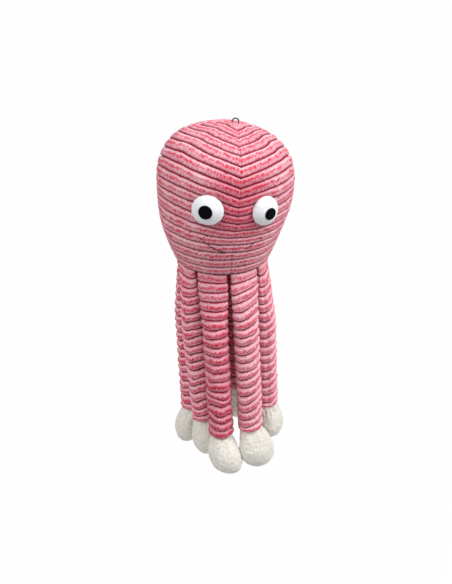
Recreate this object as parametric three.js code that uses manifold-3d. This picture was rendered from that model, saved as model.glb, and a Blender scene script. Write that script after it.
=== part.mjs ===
// A plush octopus that hangs from a cord loop on its crown. Its head is three panels of ribbed plush sewn
// round a filling and closed by a round base panel. Eight ribbed legs are sewn to the edge of that base, and
// each ends in a soft foot. Millimetres, +Z up, the face looks along -Y. The origin is inside the top of the
// loop, where a hook bears.
import * as THREE from "three";
import { mergeVertices } from "three/addons/utils/BufferGeometryUtils.js";
import Module from "manifold-3d";

// Head
const headHeight = 126; // from the neck seam up to the crown
const headRadius = 62.5;
const domeHeight = 57; // from the widest ring up to the crown
const shoulderExponent = 2.48; // above 2 keeps the dome's sides fuller than an ellipse
const crownExponent = 2.87; // above 2 makes the crown flatter than an ellipse
const taperExponent = 1.64; // how late the head draws in towards the neck
const neckRadius = 43.2;
const headTilt = 6.1; // degrees that the head is tilted over to the +X side
const tiltMiddleHeight = 42; // the tilt turns about this height above the neck seam
const tiltStartHeight = 12; // the head is level under this height
const tiltFullHeight = 62; // and fully tilted above this one
const crownShift = 4; // how far to the right and to the back the panels meet from the middle of the top
const crownShiftReach = 42; // from the middle of the top, where that shift has faded out
const headTwist = 0.7; // degrees that the front seam turns between the neck and the crown
const headPanels = 3;
const panelColumns = 8;
const headLinerRows = 7;

// Ribbed plush of the head
const ribPitch = 9.5;
const ribDepth = 2.2;
const plushThickness = 1.6; // backing and pile under the bottom of a groove
const ribBowDepth = 8.4; // how far a rib dips at a panel's edges
const ribBowExponent = 1.6; // under 2, so the ribs meet in a V at the seams
const bowRiseLength = 22; // from the crown: the bow grows over this length
const bowFadeStart = 88; // from the crown along the outside: the bow fades from here
const bowFadeEnd = 145; // and the ribs run level from here
const seamDips = [0, 16, 10]; // how much further a rib dips at the front, right and left seams
const seamDipRiseLength = 12;
const seamDipFadeStart = 50;
const seamDipFadeEnd = 105;
const seamGap = 0.4; // between pieces of fabric that are sewn to each other
const crownTipRadius = 1.2; // the panels' points stop this far from the middle of the crown

// Base panel
const basePanelThickness = 2.5;

// Eyes
const leftEyeHalfWidth = 14.6;
const rightEyeHalfWidth = 12.8;
const eyeHalfHeight = 13.6;
const eyeBulge = 8.8;
const faceAzimuth = -0.3; // degrees from the front seam to the middle of the face
const eyeAzimuth = 24.2; // degrees either side of the middle of the face
const leftEyeDepth = 58; // below the crown
const rightEyeDepth = 56.7;
const leftPupilRadius = 6;
const rightPupilRadius = 5.4;
const leftPupilRaise = 0.8; // from the middle of the eye
const rightPupilRaise = 0;
const pupilThickness = 0.8;

// Smile
const threadDiameter = 1;
const smileAzimuth = -1.3; // degrees from the front seam to the middle of the smile
const smileHalfAngle = 29; // degrees
const smileEndDepth = 85; // below the crown
const smileMiddleDepth = 98.8;
const smileSteps = 22;

// Hanging loop
const loopCordDiameter = 1.4;
const loopInnerWidth = 4.6;
const loopStraightHeight = 4; // straight part of each side, above the ribs round the crown
const loopRootDepth = 2; // the cord's ends reach this far down before the crown trims them

// Legs
const legCount = 8;
const legSeamInset = 4.7; // from the neck's outside in to the line that the legs are sewn along
const legRingRadius = neckRadius - legSeamInset;
const legLength = 173.3; // usual distance from the neck seam to the ankle seam
const kneeDrop = 86; // from the neck seam to the fold half way down
const legRadius = 11.5;
const legTopHalfWidth = 14; // where the tube is sewn flat into the neck seam
const legTopHalfThickness = 4.6;
const legFlatLength = 74; // over this length the flattened top grows round
const legRibPitch = 9.3;
const legRibDepth = 1.7;
const legSides = 8;
const legLinerSides = 6;
const legLinerRows = 2;
const firstLegAzimuth = -24; // degrees; the legs count on from here towards -X
const legLean = 2.7; // degrees that all the legs hang over to the +X side
const legLengthShares = [1.033, 0.995, 1.012, 1, 0.97, 0.94, 0.92, 1]; // each leg's own length
const legDriftShares = [0, 0.02, 0, -0.04, -0.1, 0.04, 0, 0.03]; // of its radius, how far an ankle strays sideways
const legTuckShares = [0, 0.7, -0.1, 0, 0, 0, 0.12, 0]; // of its radius, how far an ankle is tucked in

// Feet
const footHeight = 44.5;
const footHeightShares = [0.93, 0.92, 0.92, 0.95, 0.95, 0.95, 0.94, 1.03]; // each foot's own height
const footHalfWidth = 16;
const footHalfThickness = 12.4;
const footOutsets = [5, 1, 6, 5, 5, 5, 5, 5]; // how far a foot's middle stands out beyond its leg's
const footLeanShares = [0.22, 0.08, 0.08, 0.08, 0.1, 0.12, 0.14, 0.18]; // of its height, how far a foot's tip strays
const footWidestShare = 0.56; // where a foot is widest, as a share of its height
const footClothThickness = 1.8;
const footSides = 10;
const footRowShares = [0, 0.12, 0.3, 0.54, 0.74, 0.9]; // of a foot's height, from the ankle down
const footLinerSides = 6;
const footLinerRowShares = [0, 0.24, 0.54, 0.82];

// Fits and scratch sizes
const clearance = 0.3; // between a piece and what it is seated on
const profileSamples = 240;
const degree = Math.PI / 180;
const fullTurn = 2 * Math.PI;

const wasm = await Module();
wasm.setup();

function plush(colour, roughness) {
  return new THREE.MeshStandardMaterial({ color: colour, roughness, metalness: 0 });
}
const pinkPlush = plush(0xdf7f96, 0.95);
const whiteFoot = plush(0xe9e5da, 0.95);
const whiteEye = plush(0xf2f3f3, 0.8);
const blackPupil = plush(0x0b0b0d, 0.7);
const darkThread = plush(0x4a3a3e, 0.8);
const greyCord = plush(0x4c484b, 0.7);
const fillingFibre = plush(0xf7f7f4, 1);

// Gathers triangles of one closed surface, then gives them out as a geometry.
class Surface {
  constructor() {
    this.positions = [];
  }

  triangle(a, b, c) {
    for (const p of [a, b, c]) this.positions.push(p.x, p.y, p.z);
  }

  // Fills between two rows of points, which may differ in number.
  strip(upper, lower, reversed = false) {
    let i = 0;
    let j = 0;
    while (i < upper.length - 1 || j < lower.length - 1) {
      const upperShare = (i + 1) / (upper.length - 1);
      const lowerShare = (j + 1) / (lower.length - 1);
      const stepUpper = j === lower.length - 1 || (i < upper.length - 1 && upperShare <= lowerShare);
      const third = stepUpper ? upper[i + 1] : lower[j + 1];
      if (reversed) this.triangle(upper[i], third, lower[j]);
      else this.triangle(upper[i], lower[j], third);
      if (stepUpper) i += 1;
      else j += 1;
    }
  }

  grid(rows, reversed = false) {
    for (let i = 1; i < rows.length; i += 1) this.strip(rows[i - 1], rows[i], reversed);
  }

  // Closes the ring of points that a row makes, with a fan from one middle point.
  fan(row, middle, reversed = false) {
    for (let i = 1; i < row.length; i += 1) {
      if (reversed) this.triangle(middle, row[i], row[i - 1]);
      else this.triangle(middle, row[i - 1], row[i]);
    }
  }

  geometry() {
    const made = new THREE.BufferGeometry();
    made.setAttribute("position", new THREE.Float32BufferAttribute(this.positions, 3));
    const merged = mergeVertices(made);
    merged.computeVertexNormals();
    return merged;
  }
}

function middleOf(points) {
  const closed = points[0].distanceTo(points[points.length - 1]) === 0;
  const counted = closed ? points.slice(1) : points;
  const sum = counted.reduce((total, p) => total.add(p), new THREE.Vector3());
  return sum.divideScalar(counted.length);
}

function smoothShare(value, from, to) {
  const share = THREE.MathUtils.clamp((value - from) / (to - from), 0, 1);
  return share * share * (3 - 2 * share);
}

// The head's outline from the crown down to the neck: radius and height above the neck seam, by arc length,
// before the head is tilted.
function headOutline() {
  const widestHeight = headHeight - domeHeight;
  const points = [];
  for (let i = 0; i <= profileSamples; i += 1) {
    const turn = (i / profileSamples) * (Math.PI / 2);
    const radius = headRadius * Math.sin(turn) ** (2 / shoulderExponent);
    const height = widestHeight + domeHeight * Math.max(Math.cos(turn), 0) ** (2 / crownExponent);
    points.push({ radius, height });
  }
  for (let i = 1; i <= profileSamples; i += 1) {
    const share = i / profileSamples;
    const radius = headRadius - (headRadius - neckRadius) * share ** taperExponent;
    points.push({ radius, height: widestHeight * (1 - share) });
  }
  let arc = 0;
  points.forEach((p, i) => {
    const before = points[Math.max(i - 1, 0)];
    arc += Math.hypot(p.radius - before.radius, p.height - before.height);
    p.arc = arc;
  });
  return points;
}

const outline = headOutline();
const headArc = outline[outline.length - 1].arc;

// The outline's radius, height and outward normal at an arc length from the crown.
function outlineAt(arc) {
  const wanted = THREE.MathUtils.clamp(arc, 0, headArc);
  let index = outline.findIndex((p) => p.arc >= wanted);
  index = Math.max(index, 1);
  const a = outline[index - 1];
  const b = outline[index];
  const share = (wanted - a.arc) / (b.arc - a.arc);
  const run = Math.hypot(b.radius - a.radius, b.height - a.height);
  return {
    radius: a.radius + (b.radius - a.radius) * share,
    height: a.height + (b.height - a.height) * share,
    normalRadius: (a.height - b.height) / run,
    normalHeight: (b.radius - a.radius) / run,
  };
}

// Tilts a point of the upright head over its level neck, and draws the top towards where the panels meet.
function tilted(x, y, height) {
  const angle = headTilt * degree * smoothShare(height, tiltStartHeight, tiltFullHeight);
  const above = height - tiltMiddleHeight;
  const atTop = height > tiltFullHeight ? smoothShare(Math.hypot(x, y), crownShiftReach, 0) : 0;
  return new THREE.Vector3(
    x * Math.cos(angle) + above * Math.sin(angle) + crownShift * atTop,
    y + crownShift * atTop,
    tiltMiddleHeight + above * Math.cos(angle) - x * Math.sin(angle),
  );
}

// A point of the head: azimuth in degrees from the front seam, positive towards +X, and inset under the crests.
function headPoint(arc, azimuth, inset) {
  const at = outlineAt(arc);
  const atNeck = arc >= headArc;
  const radius = Math.max(at.radius - inset * (atNeck ? 1 : at.normalRadius), crownTipRadius);
  const height = atNeck ? 0 : Math.max(at.height - inset * at.normalHeight, 0);
  const turn = (azimuth + (headTwist * height) / headHeight) * degree;
  return tilted(radius * Math.sin(turn), -radius * Math.cos(turn), height);
}

function arcAtDepth(depth) {
  return outline.find((p) => headHeight - p.height >= depth).arc;
}

// How far a rib dips under its middle, at a share from -1 to 1 across its panel.
function ribDip(panel, arc, across) {
  const rising = 1 - Math.exp(-arc / bowRiseLength);
  const fading = 1 - smoothShare(arc, bowFadeStart, bowFadeEnd);
  const seam = across < 0 ? panel : (panel + 1) % headPanels;
  const seamRising = 1 - Math.exp(-arc / seamDipRiseLength);
  const seamFading = 1 - smoothShare(arc, seamDipFadeStart, seamDipFadeEnd);
  const depth = ribBowDepth * rising * fading + seamDips[seam] * seamRising * seamFading;
  return depth * Math.abs(across) ** ribBowExponent;
}

const panelAngle = 360 / headPanels;

// One row of a panel's points, with the seam's gap left at both edges.
function panelRow(panel, arc, inset) {
  const row = [];
  for (let column = 0; column <= panelColumns; column += 1) {
    const across = (2 * column) / panelColumns - 1;
    const dipped = Math.min(arc + ribDip(panel, arc, across), headArc);
    const azimuth = (panel + (across + 1) / 2) * panelAngle;
    const radius = Math.max(outlineAt(dipped).radius - inset, crownTipRadius);
    const edgeShift = Math.asin(Math.min(seamGap / 2 / radius, 1)) / degree;
    const atEdge = Math.abs(across) === 1 ? -Math.sign(across) * edgeShift : 0;
    row.push(headPoint(dipped, azimuth + atEdge, inset));
  }
  return row;
}

// Arc lengths and insets of the rows that make the ribs: a crest between every two grooves.
function ribRows() {
  const rows = [];
  const ribs = Math.round(headArc / ribPitch);
  const pitch = headArc / ribs;
  for (let rib = 0; rib < ribs; rib += 1) {
    rows.push({ arc: rib * pitch, inset: ribDepth });
    rows.push({ arc: (rib + 0.5) * pitch, inset: 0 });
  }
  rows.push({ arc: headArc, inset: ribDepth });
  return rows;
}

const headRibRows = ribRows();
const linerInset = ribDepth + plushThickness;
const linerArcs = Array.from({ length: headLinerRows + 1 }, (_, i) => (headArc * i) / headLinerRows);

// The rows of a surface that lies at one inset under the crests.
function linerRows(inset) {
  return linerArcs.map((arc) => ({ arc, inset }));
}

function headPanel(panel) {
  const outer = headRibRows.map((row) => panelRow(panel, row.arc, row.inset));
  const inner = linerRows(linerInset).map((row) => panelRow(panel, row.arc, row.inset));
  const made = new Surface();
  made.grid(outer);
  made.grid(inner, true);
  made.strip(inner[0], outer[0]);
  made.strip(outer[outer.length - 1], inner[inner.length - 1]);
  made.strip(outer.map((row) => row[0]), inner.map((row) => row[0]));
  made.strip(outer.map((row) => row[panelColumns]), inner.map((row) => row[panelColumns]), true);
  return made.geometry();
}

// A closed solid of the whole head through rows of arc lengths and insets, cut level at the bottom.
function headSolid(shapeRows, bottomHeight) {
  const rows = shapeRows.map(({ arc, inset }) => {
    const row = [];
    for (let panel = 0; panel < headPanels; panel += 1) {
      for (let column = 0; column < panelColumns; column += 1) {
        const across = (2 * column) / panelColumns - 1;
        const azimuth = (panel + column / panelColumns) * panelAngle;
        const dipped = Math.min(arc + ribDip(panel, arc, across), headArc);
        row.push(headPoint(dipped, azimuth, inset));
      }
    }
    row.push(row[0]);
    return row;
  });
  const last = rows.pop().map((p) => new THREE.Vector3(p.x, p.y, bottomHeight));
  rows.push(last);
  const made = new Surface();
  made.grid(rows);
  made.fan(rows[0], middleOf(rows[0]));
  made.fan(last, middleOf(last), true);
  return made.geometry();
}

function basePanel() {
  const radius = neckRadius - linerInset - clearance;
  const sides = headPanels * panelColumns;
  const made = new THREE.CylinderGeometry(radius, radius, basePanelThickness, sides);
  return made.rotateX(Math.PI / 2).translate(0, 0, basePanelThickness / 2);
}

function toManifold(geometry) {
  const bare = geometry.index ? geometry.toNonIndexed() : geometry.clone();
  const position = bare.getAttribute("position");
  const merged = mergeVertices(new THREE.BufferGeometry().setAttribute("position", position));
  return new wasm.Manifold(
    new wasm.Mesh({
      numProp: 3,
      vertProperties: merged.attributes.position.array,
      triVerts: new Uint32Array(merged.index.array),
    }),
  );
}

function toGeometry(solid) {
  const mesh = solid.getMesh();
  const made = new THREE.BufferGeometry();
  made.setAttribute("position", new THREE.Float32BufferAttribute(mesh.vertProperties, 3));
  made.setIndex(Array.from(mesh.triVerts));
  made.computeVertexNormals();
  return made;
}

// What rests on the head is cut by this: its crests, and the dip at its crown, grown by the clearance.
const bearingRows = headRibRows.filter((row) => row.inset === 0 || row.arc === 0 || row.arc === headArc);
const grownRows = bearingRows.map(({ arc, inset }) => ({
  arc,
  inset: (arc === 0 ? inset : 0) - clearance,
}));
const headCutter = toManifold(headSolid(grownRows, -linerInset));

// Where an eye sits on the head, which way it faces and which way is up on it.
function eyePlace(side, depth) {
  const arc = arcAtDepth(depth);
  const azimuth = faceAzimuth + side * eyeAzimuth;
  const seat = headPoint(arc, azimuth, 0);
  const facing = headPoint(arc, azimuth, -eyeBulge).sub(seat).normalize();
  const level = new THREE.Vector3(-facing.y, facing.x, 0).normalize();
  const up = facing.clone().cross(level);
  return { seat, facing, level, up };
}

function domeAt({ seat, facing, level, up }, halfWidth, grown) {
  const ball = new THREE.SphereGeometry(1, 18, 12);
  ball.scale(halfWidth + grown, eyeHalfHeight + grown, eyeBulge + grown);
  const turn = new THREE.Matrix4().makeBasis(level, up, facing).setPosition(seat);
  return toManifold(ball.applyMatrix4(turn));
}

function eyeDome(place, halfWidth) {
  return toGeometry(domeAt(place, halfWidth, 0).subtract(headCutter));
}

function pupil(place, halfWidth, radius, raise) {
  const rod = new THREE.CylinderGeometry(radius, radius, 2 * eyeBulge, 18);
  const turn = new THREE.Quaternion().setFromUnitVectors(new THREE.Vector3(0, 1, 0), place.facing);
  const end = place.seat.clone().addScaledVector(place.facing, eyeBulge + pupilThickness);
  end.addScaledVector(place.up, raise);
  const cut = toManifold(rod.applyQuaternion(turn).translate(end.x, end.y, end.z));
  const skin = domeAt(place, halfWidth, clearance + pupilThickness);
  return toGeometry(skin.subtract(domeAt(place, halfWidth, clearance)).intersect(cut));
}

function cordTube(curve, diameter, steps, sides) {
  const section = new THREE.Shape();
  for (let i = 0; i < sides; i += 1) {
    const turn = (i / sides) * fullTurn;
    const x = (diameter / 2) * Math.cos(turn);
    const y = (diameter / 2) * Math.sin(turn);
    if (i === 0) section.moveTo(x, y);
    else section.lineTo(x, y);
  }
  section.closePath();
  return new THREE.ExtrudeGeometry(section, { extrudePath: curve, steps, bevelEnabled: false });
}

function smileThread() {
  const points = [];
  const standOff = clearance + threadDiameter / 2;
  for (let i = 0; i <= smileSteps; i += 1) {
    const across = (2 * i) / smileSteps - 1;
    const depth = smileMiddleDepth - (smileMiddleDepth - smileEndDepth) * across ** 2;
    points.push(headPoint(arcAtDepth(depth), smileAzimuth + across * smileHalfAngle, -standOff));
  }
  return cordTube(new THREE.CatmullRomCurve3(points), threadDiameter, smileSteps, 6);
}

const crown = tilted(0, 0, headHeight);
const loopHalfWidth = (loopInnerWidth + loopCordDiameter) / 2;
const hookPoint = new THREE.Vector3(crown.x, crown.y, crown.z + loopStraightHeight + loopInnerWidth / 2);

function hangLoop() {
  const arch = crown.z + loopStraightHeight;
  const points = [];
  for (const height of [crown.z - loopRootDepth, crown.z, arch - loopStraightHeight / 2]) {
    points.push(new THREE.Vector3(crown.x - loopHalfWidth, crown.y, height));
  }
  const archSteps = 6;
  for (let i = 0; i <= archSteps; i += 1) {
    const turn = Math.PI * (1 - i / archSteps);
    const x = crown.x + loopHalfWidth * Math.cos(turn);
    points.push(new THREE.Vector3(x, crown.y, arch + loopHalfWidth * Math.sin(turn)));
  }
  for (const height of [arch - loopStraightHeight / 2, crown.z, crown.z - loopRootDepth]) {
    points.push(new THREE.Vector3(crown.x + loopHalfWidth, crown.y, height));
  }
  const tube = cordTube(new THREE.CatmullRomCurve3(points), loopCordDiameter, 20, 6);
  return toGeometry(toManifold(tube).subtract(headCutter));
}

// Half width and half thickness of a leg's envelope at a distance under the neck seam.
function legSection(drop) {
  const round = smoothShare(drop, 0, legFlatLength);
  return {
    halfWidth: legTopHalfWidth + (legRadius - legTopHalfWidth) * round,
    halfThickness: legTopHalfThickness + (legRadius - legTopHalfThickness) * round,
  };
}

function legAzimuth(leg) {
  return (firstLegAzimuth - (leg * 360) / legCount) * degree;
}

function ankleDrop(leg) {
  return legLength * legLengthShares[leg];
}

// Where a leg's centre line is at a distance under the neck seam, in the leg's own frame: +X sideways, and
// -Y away from the middle of the ring of legs.
function legCentre(leg, drop) {
  const leaned = drop * Math.tan(legLean * degree);
  const downShare = drop / ankleDrop(leg);
  const x = leaned * Math.cos(legAzimuth(leg)) + legDriftShares[leg] * legRadius * downShare;
  const tucked = legTuckShares[leg] * legRadius * downShare;
  return { x, y: -legRingRadius - leaned * Math.sin(legAzimuth(leg)) + tucked };
}

// A closed ring of points round a leg, in the leg's own frame.
function legRing(leg, drop, inset, sides) {
  const { halfWidth, halfThickness } = legSection(drop);
  const centre = legCentre(leg, drop);
  const row = [];
  for (let i = 0; i <= sides; i += 1) {
    const turn = ((i % sides) / sides) * fullTurn;
    const x = centre.x + (halfWidth - inset) * Math.cos(turn);
    const y = centre.y + (halfThickness - inset) * Math.sin(turn);
    row.push(new THREE.Vector3(x, y, -drop));
  }
  return row;
}

// A ribbed tube of plush between two distances under the neck seam, open at both ends.
function legCover(leg, from, to) {
  const ribs = Math.round((to - from) / legRibPitch);
  const pitch = (to - from) / ribs;
  const outer = [];
  for (let rib = 0; rib < ribs; rib += 1) {
    outer.push(legRing(leg, from + rib * pitch, legRibDepth, legSides));
    outer.push(legRing(leg, from + (rib + 0.5) * pitch, 0, legSides));
  }
  outer.push(legRing(leg, to, legRibDepth, legSides));
  const inner = [];
  for (let i = 0; i <= legLinerRows; i += 1) {
    const drop = from + ((to - from) * i) / legLinerRows;
    inner.push(legRing(leg, drop, legRibDepth + plushThickness - clearance, legLinerSides));
  }
  const made = new Surface();
  made.grid(outer);
  made.grid(inner, true);
  made.strip(inner[0], outer[0]);
  made.strip(outer[outer.length - 1], inner[inner.length - 1]);
  return made.geometry();
}

function legFilling(leg, from, to) {
  const rows = [];
  for (let i = 0; i <= legLinerRows; i += 1) {
    const drop = from + ((to - from) * i) / legLinerRows;
    rows.push(legRing(leg, drop, legRibDepth + plushThickness, legLinerSides));
  }
  const made = new Surface();
  made.grid(rows);
  made.fan(rows[0], middleOf(rows[0]));
  made.fan(rows[legLinerRows], middleOf(rows[legLinerRows]), true);
  return made.geometry();
}

// Rings of a foot from the ankle down, set in from its outside by an inset, and the point at its bottom.
function footRings(leg, inset, shares, sides) {
  const height = footHeight * footHeightShares[leg] - inset;
  const ankle = legRadius - inset;
  const drop = ankleDrop(leg) + seamGap;
  const centre = legCentre(leg, drop);
  const footLean = footLeanShares[leg] * footHeight * footHeightShares[leg];
  const rows = shares.map((share) => {
    const above = Math.min(share / footWidestShare, 1);
    const below = Math.max((share - footWidestShare) / (1 - footWidestShare), 0);
    const swell = Math.sin((above * Math.PI) / 2);
    const closing = Math.sqrt(1 - below ** 2);
    const halfWidth = (ankle + (footHalfWidth - inset - ankle) * swell) * closing;
    const halfThickness = (ankle + (footHalfThickness - inset - ankle) * swell) * closing;
    const row = [];
    for (let i = 0; i <= sides; i += 1) {
      const turn = ((i % sides) / sides) * fullTurn;
      const x = centre.x + footLean * share + halfWidth * Math.cos(turn);
      const y = centre.y - footOutsets[leg] * swell + halfThickness * Math.sin(turn);
      row.push(new THREE.Vector3(x, y, -drop - height * share));
    }
    return row;
  });
  const tip = new THREE.Vector3(centre.x + footLean, centre.y - footOutsets[leg], -drop - height);
  return { rows, tip };
}

function footCover(leg) {
  const outer = footRings(leg, 0, footRowShares, footSides);
  const inner = footRings(leg, footClothThickness, footLinerRowShares, footLinerSides);
  const made = new Surface();
  made.grid(outer.rows);
  made.fan(outer.rows[outer.rows.length - 1], outer.tip, true);
  made.grid(inner.rows, true);
  made.fan(inner.rows[inner.rows.length - 1], inner.tip);
  made.strip(inner.rows[0], outer.rows[0]);
  return made.geometry();
}

function footFilling(leg) {
  const inset = footClothThickness + clearance;
  const { rows, tip } = footRings(leg, inset, footLinerRowShares, footLinerSides);
  const made = new Surface();
  made.grid(rows);
  made.fan(rows[rows.length - 1], tip, true);
  made.fan(rows[0], middleOf(rows[0]));
  return made.geometry();
}

function namedMesh(name, geometry, material) {
  const mesh = new THREE.Mesh(geometry, material);
  mesh.name = name;
  return mesh;
}

function headGroup() {
  const group = new THREE.Group();
  const panelNames = ["right", "back", "left"];
  panelNames.forEach((name, panel) => {
    group.add(namedMesh(`head_panel_${name}`, headPanel(panel), pinkPlush));
  });
  const fillingBottom = basePanelThickness + clearance;
  const filling = headSolid(linerRows(linerInset + clearance), fillingBottom);
  group.add(namedMesh("head_filling", filling, fillingFibre));
  group.add(namedMesh("base_panel", basePanel(), pinkPlush));
  const eyes = [
    ["left", eyePlace(-1, leftEyeDepth), leftEyeHalfWidth, leftPupilRadius, leftPupilRaise],
    ["right", eyePlace(1, rightEyeDepth), rightEyeHalfWidth, rightPupilRadius, rightPupilRaise],
  ];
  for (const [name, place, halfWidth, pupilRadius, raise] of eyes) {
    group.add(namedMesh(`eye_${name}`, eyeDome(place, halfWidth), whiteEye));
    group.add(namedMesh(`pupil_${name}`, pupil(place, halfWidth, pupilRadius, raise), blackPupil));
  }
  group.add(namedMesh("smile_thread", smileThread(), darkThread));
  group.add(namedMesh("hang_loop", hangLoop(), greyCord));
  return group;
}

function legGroup(leg) {
  const group = new THREE.Group();
  group.position.z = -seamGap;
  group.rotation.z = legAzimuth(leg);
  const label = `leg_${leg + 1}`;
  const parts = [
    [`${label}_upper_cover`, legCover(leg, 0, kneeDrop), pinkPlush],
    [`${label}_upper_filling`, legFilling(leg, 0, kneeDrop), fillingFibre],
    [`${label}_lower_cover`, legCover(leg, kneeDrop + seamGap, ankleDrop(leg)), pinkPlush],
    [`${label}_lower_filling`, legFilling(leg, kneeDrop + seamGap, ankleDrop(leg)), fillingFibre],
    [`foot_${leg + 1}_cover`, footCover(leg), whiteFoot],
    [`foot_${leg + 1}_filling`, footFilling(leg), fillingFibre],
  ];
  for (const [name, geometry, material] of parts) group.add(namedMesh(name, geometry, material));
  return group;
}

const octopus = new THREE.Group();
octopus.position.copy(hookPoint).negate();
octopus.add(headGroup());
for (let leg = 0; leg < legCount; leg += 1) octopus.add(legGroup(leg));

export default octopus;
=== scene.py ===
"""A plush octopus that hangs from a cord loop: the finish of its ribbed plush, fleece feet and stitched face.

The pieces are built in millimetres round the middle of the neck seam, with +Z up and the face towards -Y. The
function placed() moves them into the frame, whose origin is inside the top of the cord loop. Angles are in
degrees where they are named values, and arcs are lengths down the head's outline from its crown.
"""

import math

import bpy
import numpy as np
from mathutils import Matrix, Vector, noise


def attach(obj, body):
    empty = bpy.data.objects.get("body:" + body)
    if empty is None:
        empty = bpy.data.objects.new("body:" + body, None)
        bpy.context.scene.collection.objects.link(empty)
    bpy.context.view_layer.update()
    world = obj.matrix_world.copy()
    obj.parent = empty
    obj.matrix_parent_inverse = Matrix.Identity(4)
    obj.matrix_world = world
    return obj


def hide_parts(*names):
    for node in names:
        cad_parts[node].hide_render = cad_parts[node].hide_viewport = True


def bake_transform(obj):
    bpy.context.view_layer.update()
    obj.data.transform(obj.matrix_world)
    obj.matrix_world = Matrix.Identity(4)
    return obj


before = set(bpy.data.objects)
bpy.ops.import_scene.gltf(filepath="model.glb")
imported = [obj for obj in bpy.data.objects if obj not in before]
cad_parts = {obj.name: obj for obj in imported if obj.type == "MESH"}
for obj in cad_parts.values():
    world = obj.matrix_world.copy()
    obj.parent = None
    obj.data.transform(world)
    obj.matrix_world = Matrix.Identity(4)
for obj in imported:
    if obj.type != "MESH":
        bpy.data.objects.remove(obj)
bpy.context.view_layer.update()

MM = 0.001
DEGREE = math.pi / 180
FULL_TURN = 2 * math.pi
WHITE = (1, 1, 1, 1)

# Head, as in the frame
HEAD_HEIGHT = 126
HEAD_RADIUS = 62.5
DOME_HEIGHT = 57
SHOULDER_EXPONENT = 2.48
CROWN_EXPONENT = 2.87
TAPER_EXPONENT = 1.64
NECK_RADIUS = 43.2
HEAD_TILT = 6.1
TILT_MIDDLE_HEIGHT = 42
TILT_START_HEIGHT = 12
TILT_FULL_HEIGHT = 62
CROWN_SHIFT = 4
CROWN_SHIFT_REACH = 42
HEAD_TWIST = 0.7
HEAD_PANELS = 3
BOW_DEPTH = 8.4
BOW_EXPONENT = 1.6
BOW_RISE_LENGTH = 22
BOW_FADE_ARCS = (88, 145)
SEAM_DIPS = [0, 16, 10]
SEAM_DIP_RISE_LENGTH = 12
SEAM_DIP_FADE_ARCS = (50, 105)
HEAD_RIB_PITCH = 9.5
PROFILE_SAMPLES = 400

# Eyes and smile, as in the frame
EYE_HALF_WIDTHS = {"left": 14.6, "right": 12.8}
EYE_HALF_HEIGHT = 13.6
EYE_BULGE = 8.8
FACE_AZIMUTH = -0.3
EYE_AZIMUTH = 24.2
EYE_DEPTHS = {"left": 58, "right": 56.7}
PUPIL_RAISES = {"left": 0.8, "right": 0}
PUPIL_THICKNESS = 0.8
SMILE_AZIMUTH = -1.3
SMILE_HALF_ANGLE = 29
SMILE_END_DEPTH = 85
SMILE_MIDDLE_DEPTH = 98.8

# Hanging loop, as in the frame
LOOP_CORD_RADIUS = 0.7
LOOP_INNER_WIDTH = 4.6
LOOP_STRAIGHT_HEIGHT = 4

# Legs, as in the frame
LEG_COUNT = 8
LEG_SEAM_INSET = 4.7
LEG_RING_RADIUS = NECK_RADIUS - LEG_SEAM_INSET
LEG_LENGTH = 173.3
KNEE_DROP = 86
LEG_RADIUS = 11.5
LEG_TOP_HALF_WIDTH = 14
LEG_TOP_HALF_THICKNESS = 4.6
LEG_FLAT_LENGTH = 74
LEG_RIB_PITCH = 9.3
FIRST_LEG_AZIMUTH = -24
LEG_LEAN = 2.7
LEG_LENGTH_SHARES = [1.033, 0.995, 1.012, 1, 0.97, 0.94, 0.92, 1]
LEG_DRIFT_SHARES = [0, 0.02, 0, -0.04, -0.1, 0.04, 0, 0.03]
LEG_TUCK_SHARES = [0, 0.7, -0.1, 0, 0, 0, 0.12, 0]
SEAM_GAP = 0.4

# Feet, as in the frame
FOOT_HEIGHT = 44.5
FOOT_HEIGHT_SHARES = [0.93, 0.92, 0.92, 0.95, 0.95, 0.95, 0.94, 1.03]
FOOT_HALF_WIDTH = 16
FOOT_HALF_THICKNESS = 12.4
FOOT_OUTSETS = [5, 1, 6, 5, 5, 5, 5, 5]
FOOT_LEAN_SHARES = [0.22, 0.08, 0.08, 0.08, 0.1, 0.12, 0.14, 0.18]
FOOT_WIDEST_SHARE = 0.56

# Each seed moves the ripples by this much further, so that no two are alike
SEED_STEP = (17.3, 5.1, -9.7)


def smooth(value, start, end):
    """A share that rises smoothly from 0 at the start to 1 at the end, which may lie below the start."""
    share = np.clip((np.asarray(value, float) - start) / (end - start), 0, 1)
    return share * share * (3 - 2 * share)


def hill(value, half_width, middle=0, exponent=2):
    """A share of 1 at the middle that fades away on both sides of it."""
    return np.exp(-(((value - middle) / half_width) ** exponent))


def ripple(points, size, seed):
    """Smooth noise from -1 to 1 at points, with lumps about this size."""
    shift = Vector([step * seed for step in SEED_STEP])
    flat = [noise.noise(Vector(point) / size + shift) for point in points.reshape(-1, 3)]
    return np.array(flat).reshape(points.shape[:-1])


def rib_height(phase, fullness=3):
    """The rounded height of a rib across its width, from 0 in a groove to 1 on its crest."""
    across = np.abs(2 * (phase % 1) - 1)
    return (1 - across**fullness) ** 0.5


def stacked(x, y, z):
    """Points from their coordinates, which may be rows, columns or grids."""
    return np.stack(np.broadcast_arrays(x, y, z), -1)


def turns(columns):
    """Angles round a full turn, as one row of a grid."""
    return np.linspace(0, FULL_TURN, columns, endpoint=False)[None, :]


def unit(vector):
    return vector / np.linalg.norm(vector)


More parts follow.
